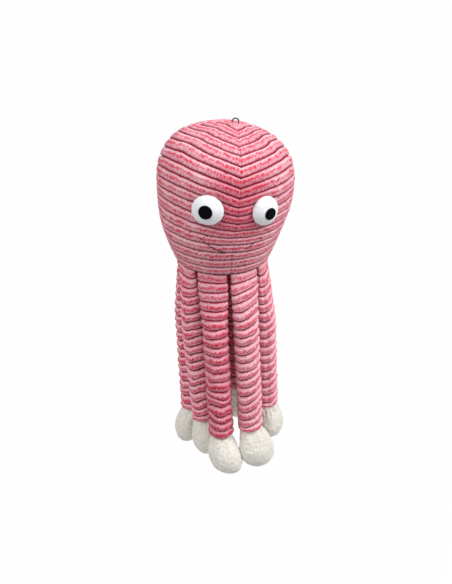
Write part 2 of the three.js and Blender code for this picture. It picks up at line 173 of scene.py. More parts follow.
# The outline of the head from the crown down, by arc length
def head_outline():
    widest = HEAD_HEIGHT - DOME_HEIGHT
    turn = np.linspace(0, math.pi / 2, PROFILE_SAMPLES)
    share = np.linspace(0, 1, PROFILE_SAMPLES)[1:]
    dome_radius = HEAD_RADIUS * np.sin(turn) ** (2 / SHOULDER_EXPONENT)
    dome_height = widest + DOME_HEIGHT * np.maximum(np.cos(turn), 0) ** (2 / CROWN_EXPONENT)
    taper_radius = HEAD_RADIUS - (HEAD_RADIUS - NECK_RADIUS) * share**TAPER_EXPONENT
    radius = np.concatenate([dome_radius, taper_radius])
    height = np.concatenate([dome_height, widest * (1 - share)])
    arc = np.concatenate([[0], np.cumsum(np.hypot(np.diff(radius), np.diff(height)))])
    return arc, radius, height


ARC, RADIUS, HEIGHT = head_outline()
HEAD_ARC = ARC[-1]
SLOPE_RADIUS = np.gradient(RADIUS, ARC)
SLOPE_HEIGHT = np.gradient(HEIGHT, ARC)
HEAD_RIBS = round(HEAD_ARC / HEAD_RIB_PITCH)


def arc_at_depth(depth):
    return np.interp(depth, HEAD_HEIGHT - HEIGHT, ARC)


def tilted(x, y, height):
    """Tilts the upright head over its level neck, and draws its top towards where the panels meet."""
    angle = HEAD_TILT * DEGREE * smooth(height, TILT_START_HEIGHT, TILT_FULL_HEIGHT)
    above = height - TILT_MIDDLE_HEIGHT
    at_top = np.where(np.asarray(height) > TILT_FULL_HEIGHT, smooth(np.hypot(x, y), CROWN_SHIFT_REACH, 0), 0)
    tilted_x = x * np.cos(angle) + above * np.sin(angle) + CROWN_SHIFT * at_top
    tilted_height = TILT_MIDDLE_HEIGHT + above * np.cos(angle) - x * np.sin(angle)
    return stacked(tilted_x, y + CROWN_SHIFT * at_top, tilted_height)


def head_point(arc, azimuth, inset):
    """Points of the head by arc length from the crown, azimuth in degrees and inset under the crests."""
    radius = np.interp(arc, ARC, RADIUS)
    height = np.interp(arc, ARC, HEIGHT)
    normal_radius = -np.interp(arc, ARC, SLOPE_HEIGHT)
    normal_height = np.interp(arc, ARC, SLOPE_RADIUS)
    radius = np.maximum(radius - inset * normal_radius, 0)
    height = height - inset * normal_height
    turn = (azimuth + HEAD_TWIST * height / HEAD_HEIGHT) * DEGREE
    return tilted(radius * np.sin(turn), -radius * np.cos(turn), height)


def rib_dip(panel, arc, across):
    """How far a rib dips under its middle, at a share from -1 to 1 across its panel."""
    rising = 1 - np.exp(-arc / BOW_RISE_LENGTH)
    fading = 1 - smooth(arc, *BOW_FADE_ARCS)
    further = np.where(across < 0, SEAM_DIPS[panel], SEAM_DIPS[(panel + 1) % HEAD_PANELS])
    seam_rising = 1 - np.exp(-arc / SEAM_DIP_RISE_LENGTH)
    seam_fading = 1 - smooth(arc, *SEAM_DIP_FADE_ARCS)
    depth = BOW_DEPTH * rising * fading + further * seam_rising * seam_fading
    return depth * np.abs(across) ** BOW_EXPONENT


CROWN = tilted(0, 0, HEAD_HEIGHT)
HOOK = CROWN + np.array([0, 0, LOOP_STRAIGHT_HEIGHT + LOOP_INNER_WIDTH / 2])


def placed(points):
    """Points in millimetres round the neck as places in the frame, in metres."""
    return (np.asarray(points, float) - HOOK) * MM


# Meshes
def new_piece(name, points, faces, material, rest=None, rib=None, sharp=()):
    """A smooth mesh piece. Its cloth pattern follows the rest places and the count of ribs at each point."""
    mesh = bpy.data.meshes.new(name)
    mesh.from_pydata(placed(points).tolist(), [], [list(face) for face in faces])
    mesh.validate()
    mesh.shade_smooth()
    rest = points if rest is None else rest
    places = mesh.attributes.new("rest", "FLOAT_VECTOR", "POINT")
    places.data.foreach_set("vector", np.asarray(rest, np.float32).ravel())
    if rib is not None:
        counts = mesh.attributes.new("rib", "FLOAT", "POINT")
        counts.data.foreach_set("value", np.asarray(rib, np.float32).ravel())
    if sharp:
        wanted = {frozenset(ends) for ends in sharp}
        sharp_edges = mesh.attributes.new("sharp_edge", "BOOLEAN", "EDGE")
        sharp_edges.data.foreach_set("value", [frozenset(edge.vertices) in wanted for edge in mesh.edges])
    mesh.materials.append(material)
    piece = bpy.data.objects.new(name, mesh)
    bpy.context.scene.collection.objects.link(piece)
    return piece


def sheet_faces(rows, columns):
    """Quads of an open grid whose rows run down and whose columns run anticlockwise seen from above."""
    faces = []
    for row in range(rows - 1):
        for column in range(columns - 1):
            corner = row * columns + column
            faces.append((corner, corner + columns, corner + columns + 1, corner + 1))
    return faces


def tube_faces(rows, columns, first=0):
    """Quads of a grid whose columns close to rings, and whose points are counted from first."""
    faces = []
    for row in range(rows - 1):
        upper = first + row * columns
        lower = upper + columns
        for column in range(columns):
            following = (column + 1) % columns
            faces.append((upper + column, lower + column, lower + following, upper + following))
    return faces


def ring_edges(first, columns):
    return [(first + column, first + (column + 1) % columns) for column in range(columns)]


def closed_tube(name, grid, material, rest, rib=None):
    """A tube of rings, closed at both ends by a fan round a middle point."""
    rows, columns = grid.shape[:2]
    points = np.concatenate([grid.reshape(-1, 3), [grid[0].mean(0)], [grid[-1].mean(0)]])
    rests = np.concatenate([rest.reshape(-1, 3), [rest[0].mean(0)], [rest[-1].mean(0)]])
    faces = tube_faces(rows, columns)
    top, bottom = rows * columns, rows * columns + 1
    last = (rows - 1) * columns
    for column in range(columns):
        following = (column + 1) % columns
        faces.append((top, column, following))
        faces.append((bottom, last + following, last + column))
    ribs = None
    if rib is not None:
        ribs = np.concatenate([rib.ravel(), [rib[0].mean()], [rib[-1].mean()]])
    sharp = ring_edges(0, columns) + ring_edges(last, columns)
    return new_piece(name, points, faces, material, rests, ribs, sharp)


# Materials
CLOTH_GLOSS = 0.06
SHEEN_ROUGHNESS = 0.5


def colour(code):
    """The linear colour of six hexadecimal digits."""
    channels = [int(code[start : start + 2], 16) / 255 for start in (0, 2, 4)]
    linear = [c / 12.92 if c <= 0.04045 else ((c + 0.055) / 1.055) ** 2.4 for c in channels]
    return (*linear, 1)


class Nodes:
    """Short ways to add and link the nodes of one material or world."""

    def __init__(self, owner):
        owner.use_nodes = True
        self.owner = owner
        self.tree = owner.node_tree

    @property
    def shader(self):
        return self.tree.nodes["Principled BSDF"]

    def add(self, kind, settings=None, **inputs):
        node = self.tree.nodes.new(kind)
        for key, value in (settings or {}).items():
            setattr(node, key, value)
        for key, value in inputs.items():
            self.put(node.inputs[key.replace("_", " ")], value)
        return node

    def put(self, socket, value):
        if isinstance(value, bpy.types.NodeSocket):
            self.tree.links.new(value, socket)
        else:
            socket.default_value = value

    def math(self, operation, *values):
        node = self.tree.nodes.new("ShaderNodeMath")
        node.operation = operation
        for socket, value in zip(node.inputs, values):
            self.put(socket, value)
        return node.outputs[0]

    def product(self, first, *others):
        for other in others:
            first = self.math("MULTIPLY", first, other)
        return first

    def swing(self, share, width):
        """A share from 0 to 1 as a value from minus half the width to half the width."""
        return self.math("MULTIPLY_ADD", share, width, -width / 2)

    def attribute(self, name, output):
        return self.add("ShaderNodeAttribute", {"attribute_name": name}).outputs[output]

    def noise(self, vector, scale, detail, roughness):
        node = self.add("ShaderNodeTexNoise", Vector=vector, Scale=scale, Detail=detail, Roughness=roughness)
        return node.outputs["Fac"]

    def combine(self, x, y, z):
        return self.add("ShaderNodeCombineXYZ", X=x, Y=y, Z=z).outputs[0]

    def steps(self, value, start, end, low=0.0, high=1.0):
        """Goes smoothly from low at the start to high at the end, which may lie below the start."""
        node = self.add("ShaderNodeMapRange", {"interpolation_type": "SMOOTHSTEP"}, Value=value)
        for key, number in (("From Min", start), ("From Max", end), ("To Min", low), ("To Max", high)):
            self.put(node.inputs[key], number)
        return node.outputs[0]

    def ramp(self, value, stops):
        node = self.add("ShaderNodeValToRGB", Fac=value)
        elements = node.color_ramp.elements
        while len(elements) < len(stops):
            elements.new(1)
        for element, (position, code) in zip(elements, stops):
            element.position = position
            element.color = colour(code)
        return node.outputs["Color"]

    def mix(self, share, below, above, blend="MIX"):
        node = self.add("ShaderNodeMix", {"data_type": "RGBA", "blend_type": blend})
        for socket, value in zip([node.inputs[0], node.inputs[6], node.inputs[7]], (share, below, above)):
            self.put(socket, value)
        return node.outputs[2]

    def bump(self, height, strength, distance, normal=None):
        node = self.add("ShaderNodeBump", Height=height, Strength=strength, Distance=distance * MM)
        if normal is not None:
            self.put(node.inputs["Normal"], normal)
        return node.outputs[0]

    def cloth(self, base, normal, roughness, sheen, sheen_code):
        """The finished material, as a matt cloth."""
        self.put(self.shader.inputs["Base Color"], base)
        self.put(self.shader.inputs["Normal"], normal)
        self.shader.inputs["Roughness"].default_value = roughness
        self.shader.inputs["Specular IOR Level"].default_value = CLOTH_GLOSS
        self.shader.inputs["Sheen Weight"].default_value = sheen
        self.shader.inputs["Sheen Roughness"].default_value = SHEEN_ROUGHNESS
        self.shader.inputs["Sheen Tint"].default_value = colour(sheen_code)
        return self.owner


# Plush colours, and how much of some is laid over the others
# Dark crimson grooves, partly dye and partly painted shade
GROOVE_DYE_AND_SHADE = "a80f2e"
GROOVE_DYE_AND_SHADE_SHARE = 0.92
SPECKLE_COLOUR = "8f1f38"
FROST_COLOUR = "f8dbe1"
FROST_SHARE = 0.34
# Painted shade, multiplied over the face under and between the eyes
FACE_PAINTED_SHADE = "ecc0cb"
# Painted shade, multiplied over the first leg, more of it further down
FIRST_LEG_PAINTED_SHADE = "ead3d9"
# Painted light, laid thinly over the last legs
LAST_LEGS_PAINTED_LIGHT = "fae0e6"
LAST_LEGS_PAINTED_LIGHT_SHARE = 0.08
CROWN_COLOURS = ("c9546c", "efb3c0")
STRONG_FRONT_SHARE = 0.9

# Plush colours across a rib, from its upper groove at 0 to its lower groove at 1, with a painted highlight at
# the top of each rib and painted shade darkening it towards its lower groove
HEAD_STOPS = [
    (0.0, "9a1f38"),
    (0.07, "cf8d9b"),
    (0.18, "e5bac2"),
    (0.29, "eeced4"),
    (0.37, "da7d8d"),
    (0.48, "d26c7e"),
    (0.58, "d797a2"),
    (0.72, "d8a5ae"),
    (0.88, "bf7080"),
    (1.0, "9a1f38"),
]
STRONG_HEAD_STOPS = [
    (0.0, "9a1f38"),
    (0.07, "cf8d9b"),
    (0.17, "e2b3bc"),
    (0.25, "e5b0ba"),
    (0.33, "da465c"),
    (0.46, "d22c44"),
    (0.56, "d4697a"),
    (0.65, "d297a3"),
    (0.76, "cf8f9c"),
    (0.9, "ba6676"),
    (1.0, "9a1f38"),
]
LEG_STOPS = [
    (0.0, "9a1c38"),
    (0.08, "d17d8f"),
    (0.2, "edbdc8"),
    (0.32, "ebb0bc"),
    (0.41, "df7b8f"),
    (0.51, "d8647a"),
    (0.6, "da6f83"),
    (0.69, "e192a2"),
    (0.8, "e9afbb"),
    (0.9, "dd97a6"),
    (1.0, "9a1c38"),
]
STRONG_LEG_STOPS = [
    (0.0, "9a1c38"),
    (0.08, "d17d8f"),
    (0.18, "eec0ca"),
    (0.29, "e9a5b3"),
    (0.37, "df5c73"),
    (0.47, "da3854"),
    (0.58, "d63a55"),
    (0.67, "db6c81"),
    (0.78, "e8a3b0"),
    (0.9, "dd97a6"),
    (1.0, "9a1c38"),
]

# From one leg to the next, the rest places move this far along X, and the counts of ribs by this many
LEG_STEP = 100
# Distances down the toy count this little for the fibres, which draws them out downwards
FIBRE_DRAW = 0.26
# The pattern along each rib lies this far from the next rib's, so that no two are alike
RIB_STEP = 31.7
# Painted shade darkens the face under and between the eyes over the first of these ribs, counted from the
# crown, and the face is plain again under the last
FACE_START_RIBS = (5, 7)
FACE_END_RIBS = (14, 11)


def plush_material(name, stops, strong_stops, speckle_share):
    """Ribbed plush: dark grooves, partly dye and partly painted shade, and pile that is frosted and pale with
    a painted highlight at the top of a rib, then strong red, then dusky and darker with painted shade towards
    the lower groove.

    The rest places run round the toy by a rib's own circle, and down it by rib, so that the fibres hang down
    across the ribs. The strong stops show where the dye is strong, and the others where it is faded.
    """
    nodes = Nodes(bpy.data.materials.new(name))
    rest = nodes.attribute("rest", "Vector")
    rib = nodes.attribute("rib", "Fac")
    phase = nodes.math("FRACT", rib)
    split = nodes.add("ShaderNodeSeparateXYZ", Vector=rest)
    x, y, down = split.outputs[0], split.outputs[1], split.outputs[2]
    hanging = nodes.combine(x, y, nodes.product(down, FIBRE_DRAW))
    along = nodes.combine(x, y, nodes.product(nodes.math("FLOOR", rib), RIB_STEP))
    fibres = nodes.noise(hanging, scale=0.9, detail=3, roughness=0.7)
    tufts = nodes.noise(hanging, scale=0.3, detail=2, roughness=0.5)
    wander = nodes.noise(along, scale=0.1, detail=2, roughness=0.6)
    fine = nodes.noise(rest, scale=1.5, detail=3, roughness=0.75)

    from_crest = nodes.math("ABSOLUTE", nodes.math("MULTIPLY_ADD", phase, 2.0, -1.0))
    inner = nodes.math("SUBTRACT", 1.0, nodes.math("POWER", from_crest, 3.0))
    jitter = nodes.math("ADD", nodes.swing(fibres, width=0.8), nodes.swing(tufts, width=0.25))
    jitter = nodes.math("ADD", jitter, nodes.swing(wander, width=0.4))
    moved = nodes.math("ADD", phase, nodes.product(jitter, inner))
    near_middle = nodes.steps(nodes.math("ABSOLUTE", x), start=36, end=10)
    front = nodes.product(near_middle, nodes.steps(y, start=0, end=20))
    dye = nodes.steps(nodes.noise(along, scale=0.06, detail=3, roughness=0.7), start=0.38, end=0.58)
    dye = nodes.math("MAXIMUM", dye, nodes.product(front, STRONG_FRONT_SHARE))
    base = nodes.mix(dye, nodes.ramp(moved, stops), nodes.ramp(moved, strong_stops))

    lower_half = nodes.steps(phase, start=0.3, end=0.75, low=0.35)
    speckle = nodes.product(nodes.steps(fine, start=0.52, end=0.66), lower_half, speckle_share)
    base = nodes.mix(speckle, base, colour(SPECKLE_COLOUR))
    tips = nodes.steps(nodes.noise(hanging, scale=0.85, detail=2, roughness=0.6), start=0.5, end=0.64)
    base = nodes.mix(nodes.product(tips, inner, FROST_SHARE), base, colour(FROST_COLOUR))

    # Painted shade: the face under and between the eyes is multiplied darker and redder
    face = nodes.product(nodes.steps(rib, *FACE_START_RIBS), nodes.steps(rib, *FACE_END_RIBS), front)
    base = nodes.mix(face, base, colour(FACE_PAINTED_SHADE), "MULTIPLY")
    # Painted shade: the first leg is multiplied darker and redder, more of it further down
    first_leg_painted_shade = nodes.product(
        nodes.steps(x, start=0.7 * LEG_STEP, end=0.85 * LEG_STEP),
        nodes.steps(x, start=1.5 * LEG_STEP, end=1.2 * LEG_STEP),
        nodes.steps(down, start=0, end=150, low=0.5),
    )
    base = nodes.mix(first_leg_painted_shade, base, colour(FIRST_LEG_PAINTED_SHADE), "MULTIPLY")
    # Painted light: the last legs are made paler
    last_legs_painted_light = nodes.steps(x, start=6 * LEG_STEP, end=6.8 * LEG_STEP)
    base = nodes.mix(nodes.product(last_legs_painted_light, LAST_LEGS_PAINTED_LIGHT_SHARE), base, colour(LAST_LEGS_PAINTED_LIGHT))

    # The grooves are painted dark crimson, partly dye and partly painted shade
    from_middle = nodes.math("ABSOLUTE", nodes.math("SUBTRACT", phase, 0.5))
    groove = nodes.product(nodes.steps(from_middle, start=0.41, end=0.47), GROOVE_DYE_AND_SHADE_SHARE)
    base = nodes.mix(groove, base, colour(GROOVE_DYE_AND_SHADE))
    near_crown = nodes.steps(rib, start=0.1, end=0.8, low=0.6, high=0)
    base = nodes.mix(near_crown, base, nodes.mix(fibres, *map(colour, CROWN_COLOURS)))

    normal = nodes.bump(fibres, strength=0.75, distance=1)
    normal = nodes.bump(fine, strength=0.55, distance=0.5, normal=normal)
    return nodes.cloth(base, normal, roughness=0.95, sheen=0.03, sheen_code="ffb8c4")


def fleece_material():
    nodes = Nodes(bpy.data.materials.new("cream_fleece"))
    rest = nodes.attribute("rest", "Vector")
    clouds = nodes.noise(rest, scale=0.09, detail=3, roughness=0.6)
    curls = nodes.noise(rest, scale=0.4, detail=4, roughness=0.75)
    lumps = nodes.noise(rest, scale=0.28, detail=3, roughness=0.6)
    base = nodes.ramp(clouds, [(0.3, "f0e9dc"), (0.5, "f5f1e8"), (0.7, "f6f4ef")])
    base = nodes.mix(nodes.steps(curls, start=0.52, end=0.36, high=0.4), base, colour("cdc6b6"))
    normal = nodes.bump(lumps, strength=0.5, distance=1.2)
    normal = nodes.bump(curls, strength=1, distance=2, normal=normal)
    return nodes.cloth(base, normal, roughness=0.95, sheen=0.3, sheen_code="fffdf8")


def eye_cloth_material():
    nodes = Nodes(bpy.data.materials.new("white_eye_cloth"))
    rest = nodes.attribute("rest", "Vector")
    clouds = nodes.noise(rest, scale=0.15, detail=3, roughness=0.6)
    base = nodes.ramp(clouds, [(0.35, "dadcdf"), (0.65, "e4e6e8")])
    normal = nodes.bump(nodes.noise(rest, scale=1.6, detail=3, roughness=0.6), strength=0.25, distance=0.25)
    return nodes.cloth(base, normal, roughness=0.8, sheen=0.15, sheen_code="ffffff")


def felt_material(name, low, high):
    nodes = Nodes(bpy.data.materials.new(name))
    rest = nodes.attribute("rest", "Vector")
    fibres = nodes.noise(rest, scale=1.4, detail=4, roughness=0.7)
    base = nodes.ramp(fibres, [(0.35, low), (0.7, high)])
    normal = nodes.bump(nodes.noise(rest, scale=2.2, detail=3, roughness=0.6), strength=0.4, distance=0.3)
    return nodes.cloth(base, normal, roughness=0.9, sheen=0.02, sheen_code="c8c8d0")


head_plush = plush_material("head_plush", HEAD_STOPS, STRONG_HEAD_STOPS, speckle_share=0.42)
leg_plush = plush_material("leg_plush", LEG_STOPS, STRONG_LEG_STOPS, speckle_share=0.3)
fleece = fleece_material()
eye_cloth = eye_cloth_material()
pupil_felt = felt_material("black_felt", "020203", "0a0a0d")
mouth_thread = felt_material("dark_thread", "2c1c22", "50363f")
loop_cord = felt_material("grey_cord", "37363a", "6a686c")


# Head panels
PANEL_COLUMNS = 120
ROWS_PER_RIB = 12
CLOTH_THICKNESS = 1.4
HEAD_PUFF = 0.6
HEAD_RIB_FULLNESS = 6
GROOVE_DEPTH = 2.6
GROOVE_UNEVENNESS = 0.18
CROWN_GROOVE_ARCS = (-6, 12)
NECK_GROOVE_LOSS = 0.6
NECK_GROOVE_LENGTH = 4
PILE_ROUGHNESS = 0.42
PILE_SIZE = 2.3
RIB_WANDER = 0.8
RIB_SHIVER = 0.35
LOOSE_CROWN_ARCS = (4, 16)
LOOSE_NECK_LENGTH = 8
HEAD_LUMPS = 0.35
SEAM_CREASE_DEPTH = 0.5
SEAM_CREASE_WIDTH = 1.2
SEAM_CREASE_RADII = (2, 12)
FRONT_KINK = 3.4
FRONT_KINK_SHARE = 0.32
FRONT_KINK_FADE_ARCS = (62, 105)
CROWN_PUFF = 1.6
CROWN_PUFF_ARC = 15
CROWN_PUFF_HALF_LENGTH = 11
CROWN_PUFF_AZIMUTH = -100
CROWN_REST_PUFF = 1.8
CROWN_REST_PUFF_ARCS = (16, 5)
SIDE_PUFF = 1.9
SIDE_PUFF_AZIMUTH = 270
SIDE_PUFF_HALF_ANGLE = 50
SIDE_PUFF_RISE_ARCS = (30, 55)
SIDE_PUFF_FADE_ARCS = (80, 105)
EYE_SINK = 3.2
EYE_SINK_SHARE = 0.85
EYE_RIM_SINK = 0.8
EYE_RIM_HALF_WIDTH = 3
EYE_REACH_SHARE = 2.5


def eye_place(side):
    """Where an eye sits, which way it faces, and which ways are level and up on it."""
    arc = arc_at_depth(EYE_DEPTHS[side])
    azimuth = FACE_AZIMUTH + (EYE_AZIMUTH if side == "right" else -EYE_AZIMUTH)
    seat = head_point(arc, azimuth, 0)
    facing = unit(head_point(arc, azimuth, -EYE_BULGE) - seat)
    level = unit(np.cross([0, 0, 1.0], facing))
    return seat, facing, level, np.cross(facing, level)


def front_kink(panel, arc, across):
    """How much further the ribs dip close to the front seam, where they meet in a sharp V."""
    from_front = (1 + across, 2 + 0 * across, 1 - across)[panel]
    fading = (1 - np.exp(-arc / SEAM_DIP_RISE_LENGTH)) * (1 - smooth(arc, *FRONT_KINK_FADE_ARCS))
    return FRONT_KINK * np.exp(-from_front / FRONT_KINK_SHARE) * fading


def filling_puff(arc, azimuth):
    """How far the filling swells the head, round its crown and on its left side."""
    toward_puff = 0.5 + 0.5 * np.cos((azimuth - CROWN_PUFF_AZIMUTH) * DEGREE)
    crown = CROWN_PUFF * toward_puff * hill(arc, CROWN_PUFF_HALF_LENGTH, CROWN_PUFF_ARC)
    crown = crown + CROWN_REST_PUFF * smooth(arc, *CROWN_REST_PUFF_ARCS)
    side = SIDE_PUFF * hill(azimuth, SIDE_PUFF_HALF_ANGLE, SIDE_PUFF_AZIMUTH)
    return crown + side * smooth(arc, *SIDE_PUFF_RISE_ARCS) * (1 - smooth(arc, *SIDE_PUFF_FADE_ARCS))


def eye_dimples(plain):
    """How far the plush sinks under the eyes and along their edges."""
    depth = 0
    for side, width in EYE_HALF_WIDTHS.items():
        seat, _, level, up = eye_place(side)
        offset = plain - seat
        away = width * np.hypot(offset @ level / width, offset @ up / EYE_HALF_HEIGHT)
        sunk = EYE_SINK * hill(away, EYE_SINK_SHARE * width, exponent=4)
        rim = EYE_RIM_SINK * hill(away, EYE_RIM_HALF_WIDTH, width)
        near = np.linalg.norm(offset, axis=-1) < EYE_REACH_SHARE * width
        depth = depth + near * (sunk + rim)
    return depth


def panel_marks(count, azimuth):
    """Rest places of a panel, on which each rib runs round a circle of its own."""
    middle_arc = np.minimum(np.floor(count) + 0.5, HEAD_RIBS - 0.5) * HEAD_ARC / HEAD_RIBS
    circle = np.interp(middle_arc, ARC, RADIUS)
    turn = azimuth * DEGREE
    return stacked(circle * np.sin(turn), circle * np.cos(turn), count * HEAD_RIB_PITCH)


def head_panel(name, panel):
    """One of the three panels of the head's cover, from the crown to the neck."""
    count = np.linspace(0, HEAD_RIBS, HEAD_RIBS * ROWS_PER_RIB + 1)[:, None]
    across = np.linspace(-1, 1, PANEL_COLUMNS + 1)[None, :]
    arc = count * HEAD_ARC / HEAD_RIBS
    arc = np.minimum(arc + rib_dip(panel, arc, across) + front_kink(panel, arc, across), HEAD_ARC)
    azimuth = (panel + (across + 1) / 2) * 360 / HEAD_PANELS + 0 * arc
    plain = head_point(arc, azimuth, 0)
    loose = smooth(arc, *LOOSE_CROWN_ARCS) * (1 - smooth(arc, HEAD_ARC - LOOSE_NECK_LENGTH, HEAD_ARC))
    wander = RIB_WANDER * ripple(plain, size=26, seed=1) + RIB_SHIVER * ripple(plain, size=9, seed=2)
    arc = arc + loose * wander
    radius = np.interp(arc, ARC, RADIUS)

    groove = GROOVE_DEPTH * (1 - NECK_GROOVE_LOSS * smooth(arc, HEAD_ARC - NECK_GROOVE_LENGTH, HEAD_ARC))
    groove = groove * (1 - rib_height(count, HEAD_RIB_FULLNESS)) * smooth(arc, *CROWN_GROOVE_ARCS)
    inset = groove - HEAD_PUFF + PILE_ROUGHNESS * ripple(plain, PILE_SIZE, seed=6)
    inset = inset * (1 + GROOVE_UNEVENNESS * ripple(plain, size=18, seed=3))
    to_seam = (1 - np.abs(across)) * 180 / HEAD_PANELS * DEGREE * radius
    inset = inset + SEAM_CREASE_DEPTH * hill(to_seam, SEAM_CREASE_WIDTH) * smooth(radius, *SEAM_CREASE_RADII)
    inset = inset - HEAD_LUMPS * ripple(plain, size=14, seed=4) * loose
    inset = inset - filling_puff(arc, azimuth) + eye_dimples(plain)
    points = head_point(arc, azimuth, inset).reshape(-1, 3)
    faces = sheet_faces(*arc.shape)
    marks = panel_marks(count, azimuth).reshape(-1, 3)
    piece = new_piece(name, points, faces, head_plush, marks, count + 0 * across)
    shell = piece.modifiers.new("cloth", "SOLIDIFY")
    shell.thickness = CLOTH_THICKNESS * MM
    shell.offset = -1
    return piece


for panel, side in enumerate(("right", "back", "left")):
    cover = head_panel(f"head_cover_{side}", panel)
    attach(cover, "head")
    hidden = [f"head_panel_{side}"] + (["head_filling"] if side == "back" else [])
    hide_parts(*hidden)


# Base panel under the head
BASE_RINGS = 34
BASE_COLUMNS = 96
BASE_INSET = 2.6
BASE_RADIUS = NECK_RADIUS - BASE_INSET
BASE_HOLE_RADIUS = 0.4
BASE_TOP = 2.5
BASE_EDGE = 0.4
BASE_SWELL_WIDTH = 4.4
BASE_MIDDLE_RIB = 20.5


def base_disc():
    """The round panel that closes the head inside the ring of legs, ribbed on its lower side."""
    radius = np.linspace(BASE_HOLE_RADIUS, BASE_RADIUS, BASE_RINGS)[::-1, None]
    turn = turns(BASE_COLUMNS)
    x, y = radius * np.cos(turn), radius * np.sin(turn)
    count = y / HEAD_RIB_PITCH + BASE_MIDDLE_RIB
    swell = smooth(radius, BASE_RADIUS, BASE_RADIUS - BASE_SWELL_WIDTH)
    lower = stacked(x, y, BASE_EDGE - GROOVE_DEPTH * rib_height(count) * swell)
    upper = stacked(x[:1], y[:1], BASE_TOP)
    grid = np.concatenate([upper, lower])
    return closed_tube("base_disc", grid, leg_plush, grid, np.concatenate([count[:1], count]))


base = base_disc()
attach(base, "head")
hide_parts("base_panel")


# Eyes, whose pupils are up to 0.35 mm larger in radius than in the frame
EYE_COLUMNS = 72
EYE_ROWS = 30
EYE_FIRST_SHARE = 0.02
EYE_DOME_EXPONENT = 0.96
EYE_TUCK_ROWS = 5
EYE_TUCK_FIRST_SHARE = 0.2
EYE_TUCK_DEPTH = 4
EYE_TUCK_SHARE = 0.25
EYE_PUCKERS = 17
EYE_PUCKER_DEPTH_SHARE = 0.011
EYE_PUCKER_SHARES = (0.7, 1)
EYE_LUMPS = 0.3
PUPIL_COLUMNS = 64
PUPIL_RADII = {"left": 6.35, "right": 5.6}
PUPIL_DOME_EXPONENT = 2.1
PUPIL_LIFT = 0.15
# The outline of a pupil from its middle, by shares of its radius and of its thickness
PUPIL_OUTLINE = [
    (0.05, 1),
    (0.3, 1),
    (0.55, 1),
    (0.75, 0.98),
    (0.88, 0.9),
    (0.95, 0.75),
    (0.99, 0.5),
    (1, 0.25),
    (0.99, 0),
    (0.8, -0.3),
]


def spread_out(place, x, y, height):
    """Points x and y from the middle of an eye, along its level and up directions, and a height in front."""
    seat, facing, level, up = place
    return seat + level * x[..., None] + up * y[..., None] + facing * height[..., None]


def eye_dome(name, place, half_width):
    """A stuffed dome of cloth that tucks in under its own edge."""
    angle = turns(EYE_COLUMNS)
    swing = np.linspace(EYE_FIRST_SHARE, 1, EYE_ROWS)[:, None] * math.pi / 2
    under = np.linspace(EYE_TUCK_FIRST_SHARE, 1, EYE_TUCK_ROWS)[:, None]
    share = np.concatenate([np.sin(swing), 1 - EYE_TUCK_SHARE * under**2]) + 0 * angle
    height = np.concatenate([EYE_BULGE * np.cos(swing) ** EYE_DOME_EXPONENT, -EYE_TUCK_DEPTH * under])
    uneven = 2 * np.sin(3 * angle)
    pucker = np.cos(EYE_PUCKERS * angle + uneven)
    share = share + EYE_PUCKER_DEPTH_SHARE * pucker * smooth(share, *EYE_PUCKER_SHARES)
    x, y = half_width * share * np.cos(angle), EYE_HALF_HEIGHT * share * np.sin(angle)
    grid = spread_out(place, x, y, height + 0 * angle)
    grid = grid + place[1] * (EYE_LUMPS * ripple(grid, size=8, seed=5))[..., None]
    return closed_tube(name, grid, eye_cloth, grid)


def pupil_disc(name, place, half_width, pupil_radius, lift):
    """A felt disc that follows the dome under it."""
    angle = turns(PUPIL_COLUMNS)
    outline = np.array(PUPIL_OUTLINE)
    radius, thick = outline[:, :1] * pupil_radius, outline[:, 1:] * PUPIL_THICKNESS
    x, y = radius * np.cos(angle), radius * np.sin(angle) + lift
    away = np.hypot(x / half_width, y / EYE_HALF_HEIGHT)
    height = EYE_BULGE * np.sqrt(np.maximum(1 - away**PUPIL_DOME_EXPONENT, 0)) + PUPIL_LIFT + thick
    return closed_tube(name, spread_out(place, x, y, height), pupil_felt, stacked(x, y, height))


for side, half_width in EYE_HALF_WIDTHS.items():
    place = eye_place(side)
    dome = eye_dome(f"eye_dome_{side}", place, half_width)
    disc = pupil_disc(f"pupil_disc_{side}", place, half_width, PUPIL_RADII[side], PUPIL_RAISES[side])
    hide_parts(f"eye_{side}")
    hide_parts(f"pupil_{side}")
    for piece in (dome, disc):
        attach(piece, "head")


# Smile: one row of backstitches that sink into the plush at their ends
STITCH_COUNT = 19
STITCH_GAP_SHARE = 0.06
STITCH_STEPS = 9
STITCH_END_SINK = 1.6
STITCH_GROOVE_SHARE = 0.8
THREAD_RADIUS = 0.42
THREAD_SIDES = 8
# The pile covers the stitches between these shares across the smile, from -1 at its left end to 1
COVERED_SHARES = [(-0.2, 0.5), (0.78, 0.93)]
COVERED_SINK = 1.3


def stitch_path(stitch):
    """Points along the middle of one stitch, over and under the pile."""
    path = []
    for share in np.linspace(0, 1, STITCH_STEPS):
        within = STITCH_GAP_SHARE + (1 - 2 * STITCH_GAP_SHARE) * share
        across = 2 * (stitch + within) / STITCH_COUNT - 1
        arc = arc_at_depth(SMILE_MIDDLE_DEPTH - (SMILE_MIDDLE_DEPTH - SMILE_END_DEPTH) * across**2)
        sink = STITCH_END_SINK * abs(2 * share - 1) ** 6
        sink += STITCH_GROOVE_SHARE * GROOVE_DEPTH * (1 - rib_height(arc / HEAD_ARC * HEAD_RIBS))
        sink += COVERED_SINK * any(low < across < high for low, high in COVERED_SHARES)
        azimuth = SMILE_AZIMUTH + across * SMILE_HALF_ANGLE
        path.append(head_point(arc, azimuth, sink - HEAD_PUFF - THREAD_RADIUS))
    return path


